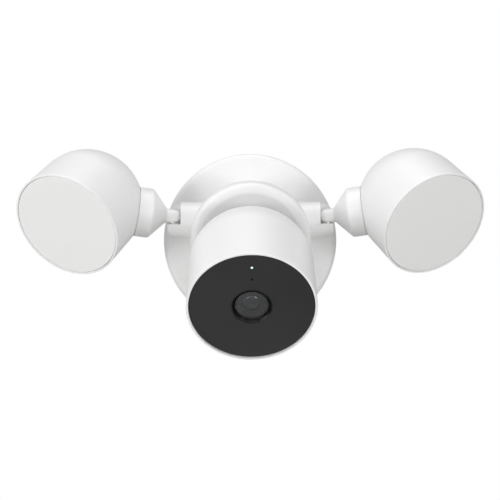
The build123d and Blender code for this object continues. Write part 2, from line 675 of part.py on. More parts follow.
def lamp_housing():
    """A bowl: a ball behind, a slightly flared skirt in front, and a ledge for the heat sink."""
    skirt = turned((0, 0), (LAMP_BALL_RADIUS, 0), (LAMP_FACE_RADIUS, LAMP_FACE), (0, LAMP_FACE))
    skirt = fillet(skirt.edges().group_by(Axis.Z)[-1], 0.5)
    housing = skirt + (Sphere(LAMP_BALL_RADIUS) & rod(LAMP_BALL_RADIUS + 1, -LAMP_BALL_RADIUS - 1, 0))
    housing -= Sphere(LAMP_INNER)
    housing -= rod(LAMP_INNER, 0, LAMP_FACE)
    housing -= rod(LAMP_FACE_RADIUS - LAMP_RIM_WIDTH, DIFFUSER_SEAT, LAMP_FACE + 1)
    housing += ring(LAMP_INNER + 0.2, 29.0, HEAT_SINK_BACK - 2.4, HEAT_SINK_BACK)
    hole = rod(SPIGOT_RADIUS + PIN_CLEARANCE, STEM_LENGTH - 45.0, STEM_LENGTH - 25.0)
    return placed(housing, LAMP_FRAME) - placed(hole, STEM_FRAME)


def lamp_diffuser():
    """The frosted front, nearly flush with the rim, with a short skirt behind."""
    front = LAMP_FACE - 0.2
    back = front - DIFFUSER_THICKNESS
    disc = fillet(rod(DIFFUSER_RADIUS, back, front).edges().group_by(Axis.Z)[-1], 0.4)
    return placed(disc + ring(35.2, 33.4, back - 4.0, back), LAMP_FRAME)


def lamp_gasket():
    """A flat ring seal behind the diffuser."""
    front = LAMP_FACE - 0.2 - DIFFUSER_THICKNESS
    return placed(ring(DIFFUSER_RADIUS, LAMP_INNER + 0.1, DIFFUSER_SEAT, front), LAMP_FRAME)


def led_board():
    """The aluminium-backed board that carries the emitters."""
    board = rod(30.0, LED_BOARD_FRONT - 1.4, LED_BOARD_FRONT)
    for x, y in around(3, 26.5):
        board -= rod(1.6, 10, 20, x, y)
    return placed(board, LAMP_FRAME)


def led_emitters():
    """Two rings of square emitters."""
    places = around(6, 9.5) + around(12, 20.0)
    top = LED_BOARD_FRONT + 0.8
    return placed(group(block(3.5, 3.5, LED_BOARD_FRONT, top, x, y) for x, y in places), LAMP_FRAME)


def heat_sink():
    """A finned disc behind the board, resting on the housing's ledge."""
    disc = rod(32.0, HEAT_SINK_BACK, LED_BOARD_FRONT - 1.4)
    core = rod(26.0, HEAT_SINK_BACK - 8.0, HEAT_SINK_BACK + 0.5)
    for step in range(-3, 4):
        disc += block(2.0, 60.0, HEAT_SINK_BACK - 8.0, HEAT_SINK_BACK + 0.5, step * 7.0, 0) & core
    return placed(disc, LAMP_FRAME)


# ---------------------------------------------------------------- writing the nodes


def central_nodes():
    """The pieces on the middle plane, and the groups that take in both sides."""
    form = hub_form(0)
    right_arm = arm(form)
    return {
        "mounting_bracket": mounting_bracket(),
        "wall_gasket": wall_gasket(),
        "base_plate": base_plate(),
        "cover_screws": cover_screws(),
        "ground_screw": ground_screw(),
        "rear_cover": rear_cover(),
        "rear_cover_screws": rear_cover_screws(),
        "terminal_block": terminal_block(),
        "hub_shell": hub_shell(form, hub_recess()),
        "hub_screws": hub_screws(),
        "cable_gland": cable_gland(),
        "driver_board": driver_board(),
        "driver_transformer": driver_transformer(),
        "driver_capacitors": driver_capacitors(),
        "cradle_seat": cradle_seat(),
        "cradle_screws": cradle_screws(),
        "cradle_magnet": cradle_magnet(),
        "swivel_pad": swivel_pad(),
        "right_arm": right_arm,
        "left_arm": mirrored(right_arm),
        "arm_nuts": group([arm_nut(), mirrored(arm_nut())]),
        "knuckle_pins": group([knuckle_pin(), mirrored(knuckle_pin())]),
        "knuckle_washers": group([knuckle_washer(), mirrored(knuckle_washer())]),
    }


def camera_nodes():
    """The camera head's pieces."""
    makers = (camera_shell, front_window, window_gasket, lens_ring, lens_cover, lens_barrel, lens_element,
              image_sensor, camera_chassis, chassis_screws, infrared_emitters, status_light, microphone,
              main_board, battery_pack, speaker, steel_disc, power_port, reset_button)
    return {make.__name__: make() for make in makers}


def side_nodes():
    """The stem and lamp of each side."""
    makers = (stem, stem_seal, lamp_retainer, lamp_housing, lamp_diffuser, lamp_gasket, led_board,
              led_emitters, heat_sink)
    nodes = {}
    for make in makers:
        piece = make()
        nodes["right_" + make.__name__] = piece
        nodes["left_" + make.__name__] = mirrored(piece)
    return nodes


os.makedirs("parts", exist_ok=True)
for node_name, node_shape in {**central_nodes(), **camera_nodes(), **side_nodes()}.items():
    export_step(node_shape, os.path.join("parts", node_name + ".step"))
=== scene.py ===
"""Looks of a wall-mounted floodlight security camera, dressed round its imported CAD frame.

The frame gives every node's place. The wall plate, the lens, the lamp bowls and their fronts are
made again here as smooth surfaces of revolution, worked out with numpy in millimetres and placed
in metres; nodes whose shape is already right keep their meshes and get a finish. Each sub-assembly
is a class that builds its own pieces, and main() builds them in order.
"""

import json
import logging
import math
from collections.abc import Callable
from dataclasses import dataclass, field
from enum import Enum

import bmesh
import bpy
import numpy as np
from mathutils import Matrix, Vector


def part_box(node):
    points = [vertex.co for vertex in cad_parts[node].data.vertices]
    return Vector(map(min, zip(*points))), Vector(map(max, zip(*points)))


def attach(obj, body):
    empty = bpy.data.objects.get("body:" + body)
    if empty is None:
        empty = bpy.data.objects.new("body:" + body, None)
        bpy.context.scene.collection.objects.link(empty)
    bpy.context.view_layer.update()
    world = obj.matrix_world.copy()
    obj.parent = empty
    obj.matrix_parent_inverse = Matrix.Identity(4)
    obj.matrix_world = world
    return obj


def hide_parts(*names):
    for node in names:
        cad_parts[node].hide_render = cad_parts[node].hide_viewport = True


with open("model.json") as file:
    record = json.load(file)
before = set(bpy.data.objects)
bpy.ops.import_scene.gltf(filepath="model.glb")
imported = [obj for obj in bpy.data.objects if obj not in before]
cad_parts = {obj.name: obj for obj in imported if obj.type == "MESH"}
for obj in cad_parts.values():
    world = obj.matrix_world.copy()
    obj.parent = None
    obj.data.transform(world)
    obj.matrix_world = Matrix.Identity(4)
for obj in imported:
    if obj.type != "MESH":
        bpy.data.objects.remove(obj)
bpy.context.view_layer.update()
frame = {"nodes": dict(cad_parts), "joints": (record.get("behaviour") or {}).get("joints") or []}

logging.basicConfig(level=logging.INFO, format="%(message)s")
LOG = logging.getLogger("floodlight_camera")

MM = 0.001
ROUND = 192  # steps round a turned piece
NOISE_MIDDLE = (0.3, 0.7)  # where most of a noise's values lie


class Side(Enum):
    """Which of the two mirrored sides a piece belongs to; the value is the sign of X."""

    LEFT = -1
    RIGHT = 1

    @property
    def word(self) -> str:
        """The side's name as the nodes and bodies spell it."""
        return self.name.lower()


# ------------------------------------------------------------------------------------------ geometry


@dataclass(frozen=True)
class Axes:
    """An origin and three square unit directions, in metres in the frame's own space."""

    origin: np.ndarray
    x: np.ndarray
    y: np.ndarray
    z: np.ndarray

    @classmethod
    def along(cls, origin: np.ndarray, z: np.ndarray, x_hint: np.ndarray) -> "Axes":
        """Axes whose Z points one way and whose X is as near as it can be to another.

        Args:
            origin: where the axes stand, in metres.
            z: the direction of Z, of any length.
            x_hint: a direction that X is pulled towards.

        Returns:
            The axes, right-handed.
        """
        z_unit = z / np.linalg.norm(z)
        x_flat = x_hint - z_unit * np.dot(x_hint, z_unit)
        x_unit = x_flat / np.linalg.norm(x_flat)
        return cls(origin, x_unit, np.cross(z_unit, x_unit), z_unit)

    def place(self, points_mm: np.ndarray) -> np.ndarray:
        """Points in millimetres on these axes, moved to metres in the frame's space.

        Args:
            points_mm: an array whose last axis is x, y, z.

        Returns:
            An array of the same shape.
        """
        basis = np.stack([self.x, self.y, self.z])
        return self.origin + (points_mm * MM) @ basis


@dataclass(frozen=True)
class Grid:
    """A surface as rows and columns of points, in metres, that may close on itself either way."""

    points: np.ndarray
    wrap_rows: bool = False
    wrap_columns: bool = True


def line(start: tuple[float, float], end: tuple[float, float], count: int = 2) -> np.ndarray:
    """Evenly spaced points on the straight line from start to end."""
    return np.linspace(np.array(start, float), np.array(end, float), count)


def arc(centre: tuple[float, float], radii: tuple[float, float], start: float, end: float,
        count: int = 12) -> np.ndarray:
    """Points on an ellipse's arc: the centre plus the radii times cosine and sine of an even run of angles.

    Args:
        centre: radius and height of the ellipse's centre.
        radii: the ellipse's half widths across and along.
        start: the first angle in degrees, from outwards towards +Z.
        end: the last angle in degrees.
        count: how many points.

    Returns:
        A (count, 2) array of radius and height.
    """
    angle = np.radians(np.linspace(start, end, count))
    return np.stack([centre[0] + radii[0] * np.cos(angle), centre[1] + radii[1] * np.sin(angle)], axis=1)


def outline(*runs: np.ndarray) -> np.ndarray:
    """Runs of points joined end to end, with points that repeat dropped.

    Args:
        runs: arrays of radius and height, each starting near where the one before it ends.

    Returns:
        One (n, 2) array of radius and height.
    """
    joined = np.concatenate(runs)
    keep = np.ones(len(joined), bool)
    keep[1:] = np.linalg.norm(np.diff(joined, axis=0), axis=1) > 1e-6
    return joined[keep]


def turned(profile: np.ndarray, axes: Axes, closed: bool = False, angles: np.ndarray | None = None,
           relief: Callable[[np.ndarray, np.ndarray, np.ndarray], np.ndarray] | None = None) -> Grid:
    """A profile carried round Z: x is radius times cosine, y is radius times sine, z is height.

    Args:
        profile: (n, 2) radii and heights in millimetres, from one pole or edge to the other.
        axes: where the surface stands.
        closed: whether the profile's last point joins its first.
        angles: the angles in radians, if they aren't even.
        relief: adds to the radius, from arrays of angle, radius and height.

    Returns:
        The surface's grid.
    """
    theta = np.linspace(0, 2 * np.pi, ROUND, endpoint=False) if angles is None else angles
    radius, height = profile[:, :1], profile[:, 1:]
    angle = np.broadcast_to(theta, (len(profile), len(theta)))
    wide = np.broadcast_to(radius, angle.shape)
    tall = np.broadcast_to(height, angle.shape)
    if relief is not None:
        wide = wide + relief(angle, wide, tall)
    points = np.stack([wide * np.cos(angle), wide * np.sin(angle), tall], axis=-1)
    return Grid(axes.place(points), wrap_rows=closed)


def smooth_step(low: float, high: float, value: np.ndarray) -> np.ndarray:
    """0 below low, 1 above high, and a cubic ease between them."""
    share = np.clip((value - low) / (high - low), 0.0, 1.0)
    return share * share * (3 - 2 * share)


def grid_faces(grid: Grid, first: int) -> np.ndarray:
    """The quads between each point of a grid and its next row and column.

    Args:
        grid: the surface.
        first: the index of the grid's first point in the whole mesh.

    Returns:
        A (faces, 4) array of point indices.
    """
    rows, columns = grid.points.shape[:2]
    index = first + np.arange(rows * columns).reshape(rows, columns)
    if grid.wrap_rows:
        index = np.concatenate([index, index[:1]], axis=0)
    if grid.wrap_columns:
        index = np.concatenate([index, index[:, :1]], axis=1)
    corners = [index[:-1, :-1], index[:-1, 1:], index[1:, 1:], index[1:, :-1]]
    return np.stack(corners, axis=-1).reshape(-1, 4)


def shade_by_angle(mesh: bpy.types.Mesh, sharp_degrees: float) -> None:
    """Smooth shading with an edge kept sharp where its faces meet at more than an angle."""
    mesh.polygons.foreach_set("use_smooth", np.ones(len(mesh.polygons), bool))
    mesh.set_sharp_from_angle(angle=math.radians(sharp_degrees))


def tidy_mesh(mesh: bpy.types.Mesh, merge_metres: float = 1e-6) -> None:
    """Merges doubles, drops faces with no area and turns the normals outwards.

    Args:
        mesh: the mesh to clean.
        merge_metres: how near two points are to be one.
    """
    work = bmesh.new()
    work.from_mesh(mesh)
    bmesh.ops.remove_doubles(work, verts=work.verts, dist=merge_metres)
    bmesh.ops.dissolve_degenerate(work, edges=work.edges, dist=merge_metres)
    bmesh.ops.recalc_face_normals(work, faces=work.faces)
    work.to_mesh(mesh)
    work.free()


def new_object(name: str, mesh: bpy.types.Mesh) -> bpy.types.Object:
    """An object at the origin that holds a mesh.

    Args:
        name: the object's name.
        mesh: its mesh, already in its place.

    Returns:
        The object, linked to the scene.
    """
    piece = bpy.data.objects.new(name, mesh)
    bpy.context.scene.collection.objects.link(piece)
    return piece


def surface(name: str, *grids: Grid, sharp_degrees: float = 32.0) -> bpy.types.Object:
    """One object from one or more grids, merged, facing outwards and smoothly shaded.

    Args:
        name: the piece's name.
        grids: its surfaces.
        sharp_degrees: edges that turn more than this stay sharp.

    Returns:
        The new object.
    """
    faces, first = [], 0
    for grid in grids:
        faces.append(grid_faces(grid, first))
        first += grid.points.shape[0] * grid.points.shape[1]
    points = np.concatenate([grid.points.reshape(-1, 3) for grid in grids])
    mesh = bpy.data.meshes.new(name)
    mesh.from_pydata(points.tolist(), [], np.concatenate(faces).tolist())
    mesh.update()
    tidy_mesh(mesh)
    shade_by_angle(mesh, sharp_degrees)
    return new_object(name, mesh)


def node_centre(node: str) -> np.ndarray:
    """The middle of a CAD node's box, in metres."""
    low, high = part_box(node)
    return (np.array(low) + np.array(high)) / 2


def joint(name: str) -> dict:
    """A joint of the frame, by name."""
    return next(j for j in frame["joints"] if j["name"] == name)


# ------------------------------------------------------------------------------------------ finishes


def linear(hex_colour: str) -> tuple[float, float, float, float]:
    """An sRGB hex colour such as "#f1f1ef" as linear red, green, blue and a full alpha."""
    shares = [int(hex_colour[i:i + 2], 16) / 255 for i in (1, 3, 5)]
    return (*[s / 12.92 if s <= 0.04045 else ((s + 0.055) / 1.055) ** 2.4 for s in shares], 1.0)


def per_metre(size_mm: float) -> float:
    """A pattern's scale for object coordinates in metres, from the size of one of its cells."""
    return 1.0 / (size_mm * MM)


# Which sockets of a colour mix hold its factor, its two colours and its result.
MIX_FACTOR, MIX_FIRST, MIX_SECOND, MIX_RESULT = 0, 6, 7, 2


class Tree:
    """A material's node tree, with one way to add a node, its settings and its links."""

    def __init__(self, name: str) -> None:
        """Starts a material with an empty tree.

        Args:
            name: the material's name.
        """
        self.material = bpy.data.materials.new(name)
        self.material.use_nodes = True
        self.nodes = self.material.node_tree.nodes
        self.links = self.material.node_tree.links
        self.nodes.clear()

    def add(self, kind: str, settings: dict | None = None, inputs: dict | None = None) -> bpy.types.Node:
        """Adds a node.

        Args:
            kind: the node's type without its ShaderNode prefix.
            settings: properties of the node.
            inputs: values or output sockets, by the name or number of the input.

        Returns:
            The node.
        """
        node = self.nodes.new("ShaderNode" + kind)
        for key, value in (settings or {}).items():
            setattr(node, key, value)
        for key, value in (inputs or {}).items():
            if isinstance(value, bpy.types.NodeSocket):
                self.links.new(value, node.inputs[key])
            else:
                node.inputs[key].default_value = value
        return node

    def noise(self, where: bpy.types.NodeSocket, size_mm: float, detail: float = 2.0) -> bpy.types.NodeSocket:
        """Smooth noise from 0 to 1 with cells of a real size."""
        node = self.add("TexNoise", None, {"Vector": where, "Scale": per_metre(size_mm), "Detail": detail})
        return node.outputs["Fac"]

    def span(self, value: bpy.types.NodeSocket, low: float, high: float) -> bpy.types.NodeSocket:
        """Noise's middle part, spread over low to high.

        Args:
            value: the noise, from 0 to 1.
            low: what the lower end of the middle becomes.
            high: what its upper end becomes.

        Returns:
            The spread value's socket.
        """
        inputs = {"Value": value, "From Min": NOISE_MIDDLE[0], "From Max": NOISE_MIDDLE[1],
                  "To Min": low, "To Max": high}
        return self.add("MapRange", None, inputs).outputs["Result"]


@dataclass(frozen=True)
class Finish:
    """A solid finish with grain in its height, and slow drifts in roughness and in tone.

    The fine grain breaks up highlights, and the drifts are what moulding, handling and dust leave; on the
    dark window the tone's drift is painted shade instead, laid by a slow noise that darkens it across its
    face.
    """

    name: str
    colour: str
    roughness: float
    metallic: float = 0.0
    ior: float = 1.5
    grain_mm: float = 0.7
    grain_depth_mm: float = 0.006
    drift_mm: float = 22.0
    drift_roughness: float = 0.04
    # A second tone mixed in by the slow noise: a random tone on most finishes, painted shade on the window.
    drift_tone: str | None = None
    stretch: tuple[float, float, float] = (1.0, 1.0, 1.0)
    shift: tuple[float, float, float] = (0.0, 0.0, 0.0)
    own: dict[str, object] = field(default_factory=dict)

    def relief(self, tree: Tree, where: bpy.types.NodeSocket) -> bpy.types.NodeSocket:
        """The bumped normal: noise of the grain's size, as deep as the grain.

        Args:
            tree: the material's tree.
            where: the coordinates' socket.

        Returns:
            The normal's socket.
        """
        height = tree.noise(where, self.grain_mm)
        bump = {"Height": height, "Distance": self.grain_depth_mm * MM, "Strength": 1.0}
        return tree.add("Bump", None, bump).outputs["Normal"]

    def tone(self, tree: Tree, drift: bpy.types.NodeSocket) -> bpy.types.NodeSocket | tuple:
        """The colour, mixed with a second tone by the drift if there is one; on the window that darker second
        tone is painted shade.

        Args:
            tree: the material's tree.
            drift: the slow noise's socket.

        Returns:
            The mix's socket, or the plain colour.
        """
        if self.drift_tone is None:
            return linear(self.colour)
        # On the window this mix paints shade: the slow noise lays a darker tone across its face.
        mix = {MIX_FACTOR: tree.span(drift, 0.0, 1.0), MIX_FIRST: linear(self.colour),
               MIX_SECOND: linear(self.drift_tone)}
        return tree.add("Mix", {"data_type": "RGBA"}, mix).outputs[MIX_RESULT]

    def build(self) -> bpy.types.Material:
        """The finish as a Blender material.

        Returns:
            The material, with its patterns on object coordinates.
        """
        tree = Tree(self.name)
        spot = tree.add("TexCoord").outputs["Object"]
        moved = {"Vector": spot, "Location": self.shift, "Scale": self.stretch}
        spot = tree.add("Mapping", None, moved).outputs["Vector"]
        drift = tree.noise(spot, self.drift_mm, 3.0)
        low, high = self.roughness - self.drift_roughness, self.roughness + self.drift_roughness
        inputs = {
            "Base Color": self.tone(tree, drift),
            "Roughness": tree.span(drift, low, high),
            "Metallic": self.metallic,
            "Normal": self.relief(tree, spot),
            **self.own,
        }
        if self.metallic == 0.0:
            inputs["IOR"] = self.ior
        shader = tree.add("BsdfPrincipled", None, inputs)
        tree.add("OutputMaterial", None, {"Surface": shader.outputs["BSDF"]})
        return tree.material


# Matt white polycarbonate, moulded in a spark-eroded tool: an even, neutral white with a soft sheen.
HOUSING = Finish("white_polycarbonate", "#f2f2f2", 0.42, ior=1.58, grain_mm=0.8, grain_depth_mm=0.008,
                 drift_mm=30.0, drift_tone="#f0f0f0",
                 own={"Subsurface Weight": 0.08, "Subsurface Radius": (0.002, 0.002, 0.002)})
# Frosted acrylic over the lamps: a little greyer than the housing and nearly free of highlights.
DIFFUSER = Finish("frosted_acrylic", "#eeefee", 0.62, ior=1.49, grain_mm=0.5, grain_depth_mm=0.012,
                  drift_mm=40.0, own={"Subsurface Weight": 0.2, "Subsurface Radius": (0.004, 0.004, 0.004)})
# Tinted acrylic in front of the camera: near black, with painted shade from a slow noise, shifted into place,
# that darkens it across its face, and a satin sheen.
WINDOW = Finish("smoked_acrylic", "#2d2d2f", 0.3, ior=1.49, grain_mm=1.2, grain_depth_mm=0.001,
                drift_mm=110.0, drift_roughness=0.03, drift_tone="#1c1c1e", shift=(1.3, 0.7, 0.5))
# Glass-filled nylon of the barrel, chassis and covers: black and dull.
BLACK = Finish("black_nylon", "#131314", 0.45, ior=1.53, grain_mm=0.6, grain_depth_mm=0.008)
# Moulded bezel of the lens: deep black with a soft shine on its rounded edge.
BEZEL = Finish("black_bezel", "#050506", 0.35, ior=1.53, grain_mm=0.8, grain_depth_mm=0.002)
# Coated optical glass, looked through: clear, a trace cool, with sharp reflections.
GLASS = Finish("coated_glass", "#f4f6fa", 0.03, ior=1.52, grain_mm=3.0, grain_depth_mm=0.0,
               drift_roughness=0.01, own={"Transmission Weight": 1.0})
# The front element under the cover: dark glass with a violet coating on its reflections.
ELEMENT = Finish("violet_coated_glass", "#050508", 0.08, ior=1.6, grain_mm=3.0, grain_depth_mm=0.0,
                 drift_roughness=0.01,
                 own={"Coat Weight": 0.3, "Coat Roughness": 0.03, "Coat Tint": linear("#c9c4ff")})
# Zinc-plated pressed steel: grey, with a spangle of slightly darker patches.
STEEL = Finish("zinc_plated_steel", "#b9bcbe", 0.34, metallic=1.0, grain_mm=1.4, grain_depth_mm=0.01,
               drift_mm=6.0, drift_roughness=0.09, drift_tone="#a9adb0")
# Nickel-plated screws and pins: bright, with a fine brushed grain.
PLATED = Finish("nickel_plated_screw", "#c8c6c0", 0.24, metallic=1.0, grain_mm=0.5, grain_depth_mm=0.006,
                drift_mm=3.0, drift_roughness=0.06, stretch=(1.0, 3.0, 1.0))
# Sintered magnet under nickel: smooth, warm grey.
MAGNET = Finish("nickel_coated_magnet", "#bdb8ae", 0.18, metallic=1.0, grain_mm=0.9, grain_depth_mm=0.004)
# Silicone rubber seals: mid grey and matt.
RUBBER = Finish("grey_silicone", "#6e7071", 0.72, ior=1.41, grain_mm=0.5, grain_depth_mm=0.02,
                drift_tone="#666869")
# Foam against the wall: paler, with a skin of fine pits.
FOAM = Finish("closed_cell_foam", "#8b8d8e", 0.85, ior=1.45, grain_mm=0.9, grain_depth_mm=0.12,
              drift_tone="#7f8182")
# Solder mask over a circuit board: dark green with a slight shine.
BOARD = Finish("green_solder_mask", "#1d4a33", 0.36, ior=1.55, grain_mm=1.1, grain_depth_mm=0.02,
               drift_mm=5.0, drift_tone="#245a3d")
# White solder mask of the lamp boards: bright with a slight shine.
LAMP_BOARD = Finish("white_solder_mask", "#e9eae6", 0.4, ior=1.55, grain_mm=1.1, grain_depth_mm=0.02)
# Die-cast aluminium: pale grey, with a coarse, dull skin.
CAST = Finish("cast_aluminium", "#a7a9ab", 0.48, metallic=1.0, grain_mm=0.7, grain_depth_mm=0.03,
              drift_mm=9.0, drift_roughness=0.08)
# Phosphor resin over the emitters: egg-yolk yellow and waxy.
PHOSPHOR = Finish("yellow_phosphor", "#e8c648", 0.5, ior=1.45, grain_mm=0.4, grain_depth_mm=0.01,
                  own={"Subsurface Weight": 0.3, "Subsurface Radius": (0.001, 0.001, 0.0005)})
# Ferrite core and tape of the transformer: dark grey with patches of amber.
CORE = Finish("ferrite_and_tape", "#3b3a3c", 0.6, ior=1.5, grain_mm=0.8, grain_depth_mm=0.03,
              drift_tone="#c9a227", drift_mm=11.0)
# Shrink wrap round cells and capacitors: blue film with a soft shine.
WRAP = Finish("blue_shrink_wrap", "#24468c", 0.3, ior=1.5, grain_mm=2.2, grain_depth_mm=0.03)
# Lit end of the light pipe: mint white.
STATUS = Finish("lit_light_pipe", "#dff2ec", 0.3, ior=1.49, grain_mm=0.5, grain_depth_mm=0.002,
                own={"Emission Color": linear("#c9ebdf"), "Emission Strength": 0.75})
# Acetal washers and terminal block: off-white, with a slippery sheen.
ACETAL = Finish("off_white_acetal", "#d9d8d2", 0.35, ior=1.48, grain_mm=0.8, grain_depth_mm=0.006)
# Matt board under the object: an even pale grey that takes soft shadows.
FLOOR = Finish("pale_studio_board", "#c4c4c2", 0.8, grain_mm=4.0, grain_depth_mm=0.02, drift_mm=300.0)


class Wardrobe:
    """The built materials, made once each, and the ways to put them on pieces."""

    def __init__(self) -> None:
        """Starts with nothing built."""
        self.built: dict[str, bpy.types.Material] = {}

    def material(self, finish: Finish) -> bpy.types.Material:
        """The material of a finish, built at its first use.

        Args:
            finish: the finish.

        Returns:
            Its one material.
        """
        if finish.name not in self.built:
            self.built[finish.name] = finish.build()
        return self.built[finish.name]

    def dress(self, piece: bpy.types.Object, finish: Finish) -> None:
        """Puts one finish on the whole of a piece."""
        piece.data.materials.clear()
        piece.data.materials.append(self.material(finish))

    def dress_node(self, node: str, finish: Finish) -> None:
        """Puts one finish on a CAD node that keeps its shape."""
        self.dress(frame["nodes"][node], finish)
        LOG.info("%s keeps its shape, in %s", node, finish.name)

    def settle(self, piece: bpy.types.Object, body: str, slot: str, finish: Finish, *nodes: str) -> None:
        """Dresses a new piece and ties it to the frame.

        Args:
            piece: the new piece.
            body: the body it moves with.
            slot: the record's material slot; not used.
            finish: its finish.
            nodes: the CAD nodes that it stands for.
        """
        self.dress(piece, finish)
        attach(piece, body)
        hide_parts(*nodes)
        LOG.info("%s stands for %s, in %s", piece.name, ", ".join(nodes), finish.name)


# ------------------------------------------------------------------------------------- sub-assemblies


@dataclass
class WallMount:
    """The round plate on the wall and what it hides. Sizes are in millimetres."""

    wardrobe: Wardrobe
    radius: float = 63.3
    back: float = 2.0
    front: float = 16.0
    wall: float = 2.5
    edge_round: float = 4.0
    rear_edge_round: float = 0.6
    hole: float = 24.0
    screw_height: float = 8.5
    screw_seat: float = 4.1
    screw_seat_depth: float = 1.25
    screw_seat_slope: float = 0.12
    rear_chamfer: float = 0.3
    fine_degrees: float = 4.6
    fine_steps: int = 47

    def angles(self) -> np.ndarray:
        """Even steps all round, with fine ones across the two screw seats above and below.

        Returns:
            Angles in radians, in order, each given once.
        """
        even = np.linspace(0, 2 * np.pi, ROUND, endpoint=False)
        fine = np.radians(np.linspace(-self.fine_degrees, self.fine_degrees, self.fine_steps))
        return np.unique(np.round(np.concatenate([even, fine + np.pi / 2, fine + 3 * np.pi / 2]), 5))

    def seat_relief(self, angle: np.ndarray, radius: np.ndarray, height: np.ndarray) -> np.ndarray:
        """Sinks the outside by the seat's depth within the seat's radius of either screw, with steep sides.

        Args:
            angle: angles round the plate.
            radius: the outline's radii.
            height: distances from the wall.

        Returns:
            What to add to the radii.
        """
        off_screw = np.abs(np.abs(np.remainder(angle, 2 * np.pi) - np.pi) - np.pi / 2)
        distance = np.hypot(off_screw * self.radius, height - self.screw_height)
        outside = (radius > self.radius - self.wall / 2) & (height < self.front - self.edge_round + 1)
        low, high = self.screw_seat - self.screw_seat_slope, self.screw_seat + self.screw_seat_slope
        return np.where(outside, -self.screw_seat_depth * (1 - smooth_step(low, high, distance)), 0.0)

    def build_plate(self) -> None:
        """A canopy turned from a closed outline, open to the wall, with sunk seats for its two screws."""
        radius, back, front, wall, chamfer = self.radius, self.back, self.front, self.wall, self.rear_chamfer
        small, big = self.rear_edge_round, self.edge_round
        profile = outline(
            line((radius - wall + chamfer, back), (radius - small, back)),
            arc((radius - small, back + small), (small, small), -90, 0, 6),
            line((radius, back + small), (radius, front - big), 36),
            arc((radius - big, front - big), (big, big), 0, 90, 14),
            line((radius - big, front), (self.hole, front), 10),
            line((self.hole, front), (self.hole, front - wall)),
            line((self.hole, front - wall), (radius - wall, front - wall), 4),
            line((radius - wall, front - wall), (radius - wall, back + chamfer), 4),
        )
        axes = Axes.along(np.zeros(3), np.array([0.0, -1.0, 0.0]), np.array([1.0, 0.0, 0.0]))
        grid = turned(profile, axes, closed=True, angles=self.angles(), relief=self.seat_relief)
        self.wardrobe.settle(surface("wall_plate", grid), "base", "white_housing", HOUSING, "base_plate")

    def build(self) -> None:
        """Builds the plate and dresses the bracket, seals, screws and wiring behind it."""
        self.build_plate()
        for node, finish in {
            "mounting_bracket": STEEL, "wall_gasket": FOAM, "cover_screws": PLATED, "ground_screw": PLATED,
            "rear_cover": BLACK, "rear_cover_screws": PLATED, "terminal_block": ACETAL,
        }.items():
            self.wardrobe.dress_node(node, finish)


@dataclass
class Hub:
    """The leaning hub with its cup, its two arms, the driver inside and the magnetic seat."""

    wardrobe: Wardrobe

    def build(self) -> None:
        """Dresses the hub, arms, seat and driver."""
        for node, finish in {
            "hub_shell": HOUSING, "left_arm": HOUSING, "right_arm": HOUSING, "cradle_seat": HOUSING,
            "cradle_screws": PLATED, "cradle_magnet": MAGNET, "hub_screws": PLATED, "cable_gland": RUBBER,
            "driver_board": BOARD, "driver_transformer": CORE, "driver_capacitors": WRAP, "arm_nuts": STEEL,
            "knuckle_pins": PLATED, "knuckle_washers": ACETAL, "swivel_pad": RUBBER,
        }.items():
            self.wardrobe.dress_node(node, finish)


